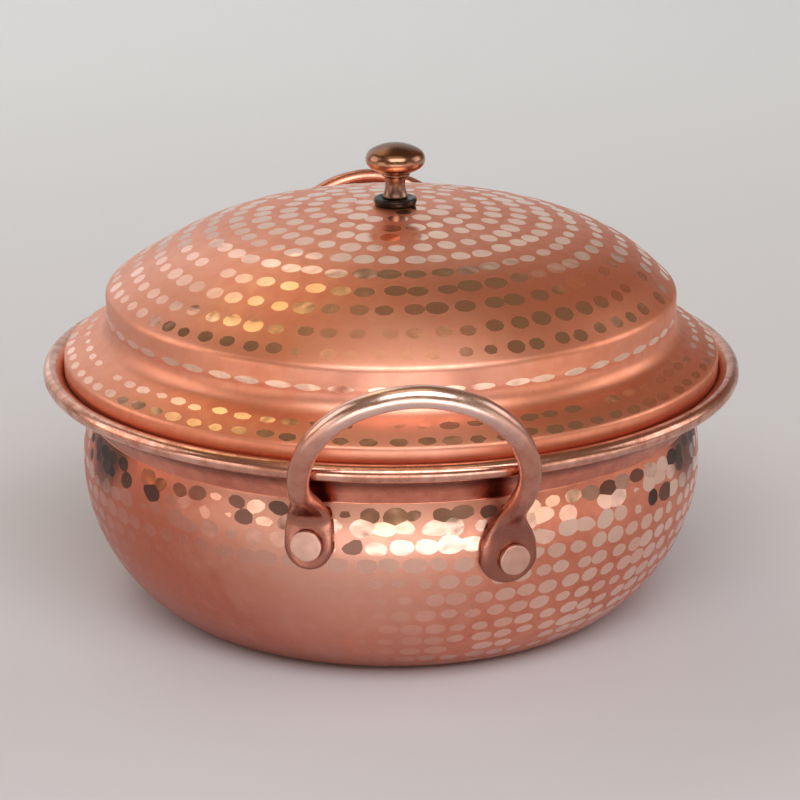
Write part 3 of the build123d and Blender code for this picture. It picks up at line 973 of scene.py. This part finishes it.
def makeKnob(s):
    footR, waistR, topR, length, waistH = s["neck"]
    capR, capH, sideRound, sink = s["cap"]
    boreR, boreH = s["bore"]
    edge, n = s["chamfer"], s["arcSteps"]
    z = s["foot"] + s["base"][1]
    outline = [(0, z + boreH), (boreR, z + boreH), (boreR, z), (footR - edge, z), (footR, z + edge)]
    for k in range(1, n + 1):
        t = k / n
        low = waistR + (footR - waistR) * (1 - min(1, t * length / waistH)) ** 2
        high = waistR + (topR - waistR) * max(0, (t * length - waistH) / (length - waistH)) ** 2
        outline.append((low if t * length < waistH else high, z + edge + t * (length - edge)))
    ringR, ringT = s["ring"]
    ringZ = z + length
    ringTop = ringZ + ringT
    outline += [(ringR - edge, ringZ), (ringR, ringZ + edge)]
    outline += [(ringR, ringTop - edge), (ringR - edge, ringTop)]

    # The cap is two shallow domes joined by a rounded side.
    mid = ringTop - sink + capH / 2
    topRound = ((capR - sideRound) ** 2 + capH**2 / 4 - sideRound**2) / (capH - 2 * sideRound)
    topTurn = asin((capR - sideRound) / (topRound - sideRound))
    low = mid - capH / 2 + topRound
    begin = asin((ringR - 3 * edge) / topRound)
    for k in range(n):
        a = begin + (topTurn - begin) * k / n
        outline.append((topRound * sin(a), low - topRound * cos(a)))
    for k in range(n + 1):
        a = topTurn - pi / 2 + (pi - 2 * topTurn) * k / n
        outline.append((capR - sideRound + sideRound * cos(a), mid + sideRound * sin(a)))
    high = mid + capH / 2 - topRound
    for k in range(1, n + 1):
        a = topTurn * (1 - k / n)
        outline.append((topRound * sin(a) if k < n else 0, high + topRound * cos(a)))
    bm = joinSkins(sweepRings(outline, s["steps"]))
    bmesh.ops.translate(bm, vec=(s["off"] * mm, 0, 0), verts=bm.verts)
    finishes = [knobBronze, neckBronze]
    for f in bm.faces:
        if f.calc_center_median().z < ringTop * mm:
            f.material_index = finishes.index(neckBronze)
    return finishMesh(bm, "knobCap", finishes)


def makeKnobBase(s):
    r, t = s["base"]
    dishR, dishDepth, dishSide = s["baseDish"]
    boreR = s["bore"][0]
    foot, top = s["foot"], s["foot"] + t
    outline = [(boreR, foot), *((r - i, foot + h) for i, h in s["baseUnder"]), (r, foot + t * s["baseWide"])]
    outline += [(r - i, top - h) for i, h in s["baseUpper"]]
    outline += [(dishR, top), (dishR - dishSide, top - dishDepth), (boreR, top - dishDepth)]
    bm = joinSkins(sweepRings(outline + outline[:1], s["steps"]))
    bmesh.ops.translate(bm, vec=(s["off"] * mm, 0, 0), verts=bm.verts)
    return finishMesh(bm, "knobFootDisc", [darkBronze])


knobCap = makeKnob(knob)
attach(knobCap, "lid")
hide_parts("knob")
knobFoot = makeKnobBase(knob)
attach(knobFoot, "lid")
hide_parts("knob_base")
print("knob made")

for node, material in (("rim_wire", wireCopper), ("knob_washer", fixingBrass), ("knob_screw", fixingBrass)):
    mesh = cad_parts[node].data
    mesh.materials.clear()
    mesh.materials.append(material)

# Stage, light and camera
studio = {
    "sweep": (-4.0, 2.2, 0.9, 3.2, 4.0),  # the floor's front, where it bends up, radius, top, half width
    "floor": (0.575, 0.578, 0.622),
    "backdrop": (0.65, 0.695, 0.735),
    "backdropFade": (-0.35, 1.1),
    "tableFront": (0.78, 0.76, 0.78),
    "frontFade": (-0.24, -0.40),
    "wall": (0.56, 0.56, 0.565),
    "world": (0.20, 0.135, 0.085),
    "camera": (-0.0658, -1.1375, 0.4603),
    "forward": (0.0580, 0.9478, -0.3137),
    "lens": 123.73,
    "sensor": 36,
    "farClip": 50,
    # place, aim, size, radiance, colour
    "lamps": {
        "keySoftbox": ((0.15, -1.8, 2.0), (0, 0, 0.1), (2.4, 1.5), 4.3, (1, 1, 1)),
        "overheadCard": ((-0.15, -0.42, 2.4), (-0.15, -0.42, 0), (1.5, 0.95), 0.75, (1.0, 0.72, 0.48)),
        "backdropWash": ((-0.3, 1.25, 2.3), (-0.3, 3.1, 1.2), (3.0, 0.7), 5.2, (1, 1, 1)),
        "backLeftCard": ((-0.78, 1.75, 2.0), (0, 0, 0.17), (1.3, 0.7), 0.85, (1.0, 0.95, 0.87)),
        "leftBackWall": ((-1.5, 2.2, 1.0), (0, 0, 0.15), (1.75, 1.7), 0.5, (1.0, 0.97, 0.93)),
        "goldPatch": ((-0.80, 1.12, 2.15), (0, 0, 0.17), (1.0, 0.65), 1.25, (1.0, 0.80, 0.40)),
        "leftSoftbox": ((-2.2, 0.3, 1.1), (0, 0, 0.1), (1.6, 1.6), 1.6, (1, 1, 1)),
        "rightSoftbox": ((2.3, 0.2, 1.0), (0, 0, 0.1), (1.4, 1.4), 1.8, (1, 1, 1)),
        "leftWindow": ((-1.85, -1.18, 0.24), (0, 0, 0.08), (0.9, 0.4), 2.0, (1, 0.97, 0.9)),
        "rightWindow": ((1.75, -1.3, 0.26), (0, 0, 0.08), (0.7, 0.4), 1.2, (1, 0.90, 0.75)),
        "frontWindow": ((-0.1, -2.3, 0.2), (0, 0, 0.08), (0.6, 0.26), 1.1, (1, 0.85, 0.6)),
        "amberWindow": ((-2.2, 0.38, 0.32), (0, 0, 0.08), (0.7, 0.36), 1.4, (1, 0.58, 0.2)),
        "frontCard": ((0.0, -0.45, 0.04), (0, 0, 0.8), (0.44, 0.18), 1.7, (1, 1, 1)),
        "leftCard": ((-0.38, -0.27, 0.04), (0, 0, 0.8), (0.34, 0.13), 0.5, (1, 0.97, 0.9)),
        "rightCard": ((0.38, -0.27, 0.04), (0, 0, 0.8), (0.34, 0.13), 0.5, (1, 0.98, 0.95)),
    },
    "flag": ((1.45, 1.75, 1.35), (0, 0, 0.17), (0.9, 1.5), (0.26, 0.10, 0.05)),  # place, aim, size, colour
}


def makeFloor(s):
    bm = bmesh.new()
    front, bendFrom, bend, top, side = s["sweep"]
    outline = [(front, 0), (bendFrom, 0)]
    outline += [(bendFrom + bend * sin(radians(a)), bend - bend * cos(radians(a))) for a in range(10, 91, 10)]
    outline.append((bendFrom + bend, top))
    verts = [bm.verts.new((-side, y, z)) for y, z in outline]
    edges = [bm.edges.new(pair) for pair in zip(verts, verts[1:])]
    made = bmesh.ops.extrude_edge_only(bm, edges=edges)["geom"]
    moved = [g for g in made if isinstance(g, bmesh.types.BMVert)]
    bmesh.ops.translate(bm, vec=(2 * side, 0, 0), verts=moved)
    bmesh.ops.recalc_face_normals(bm, faces=bm.faces)
    if sum(f.normal.z for f in bm.faces) < 0:
        bmesh.ops.reverse_faces(bm, faces=bm.faces)
    smoothFaces(bm)
    material, tree, shader = newMaterial("paleSweep")
    fill(tree, shader["Roughness"], 0.75)
    split = addNode(tree, "ShaderNodeSeparateXYZ", (-700, 0), Vector=addPlace(tree, (-900, 0)))
    far = addRange(tree, (-500, 0), split.outputs["Y"], *s["backdropFade"])
    near = addRange(tree, (-500, 300), split.outputs["Y"], *s["frontFade"])
    tint = addMix(tree, "RGBA", (-250, 0), far, (*s["floor"], 1), (*s["backdrop"], 1))
    tint = addMix(tree, "RGBA", (-50, 200), near, tint.outputs["Result"], (*s["tableFront"], 1))
    fill(tree, shader["Base Color"], tint.outputs["Result"])
    return finishMesh(bm, "studioSweep", [material])


def makeLamp(name, place, aim, size, radiance, colour):
    lamp = bpy.data.lights.new(name, "AREA")
    lamp.shape = "RECTANGLE"
    lamp.size, lamp.size_y = size
    lamp.energy = radiance * pi * size[0] * size[1]
    lamp.color = colour
    holder = bpy.data.objects.new(name, lamp)
    bpy.context.scene.collection.objects.link(holder)
    holder.location = place
    holder.rotation_euler = (Vector(aim) - Vector(place)).to_track_quat("-Z", "Y").to_euler()


# A brown card beside the backdrop, out of the picture, for the lid's facets to reflect
def makeFlag(place, aim, size, colour):
    bm = bmesh.new()
    bmesh.ops.create_grid(bm, x_segments=1, y_segments=1, size=0.5)
    turned = (Vector(place) - Vector(aim)).to_track_quat("Z", "Y").to_matrix().to_4x4()
    where = Matrix.Translation(place) @ turned @ Matrix.Diagonal((*size, 1, 1))
    bmesh.ops.transform(bm, matrix=where, verts=bm.verts)
    material, tree, shader = newMaterial("darkCard")
    fill(tree, shader["Base Color"], (*colour, 1))
    return finishMesh(bm, "darkCard", [material])


makeFloor(studio)
makeFlag(*studio["flag"])
for name, settings in studio["lamps"].items():
    makeLamp(name, *settings)

world = bpy.data.worlds.new("studioAir")
bpy.context.scene.world = world
world.use_nodes = True
air = world.node_tree
# Beyond the sweep the camera sees a pale wall.
seen = addNode(air, "ShaderNodeLightPath", (-600, 0)).outputs["Is Camera Ray"]
shown = addMix(air, "RGBA", (-250, 0), seen, (*studio["world"], 1), (*studio["wall"], 1))
fill(air, air.nodes["Background"].inputs["Color"], shown.outputs["Result"])
bpy.context.scene.view_settings.view_transform = "Standard"

lens = bpy.data.cameras.new("camera")
lens.lens = studio["lens"]
lens.sensor_width = studio["sensor"]
lens.clip_end = studio["farClip"]
camera = bpy.data.objects.new("camera", lens)
bpy.context.scene.collection.objects.link(camera)
camera.location = studio["camera"]
camera.rotation_euler = Vector(studio["forward"]).to_track_quat("-Z", "Y").to_euler()
bpy.context.scene.camera = camera
print("studio set")
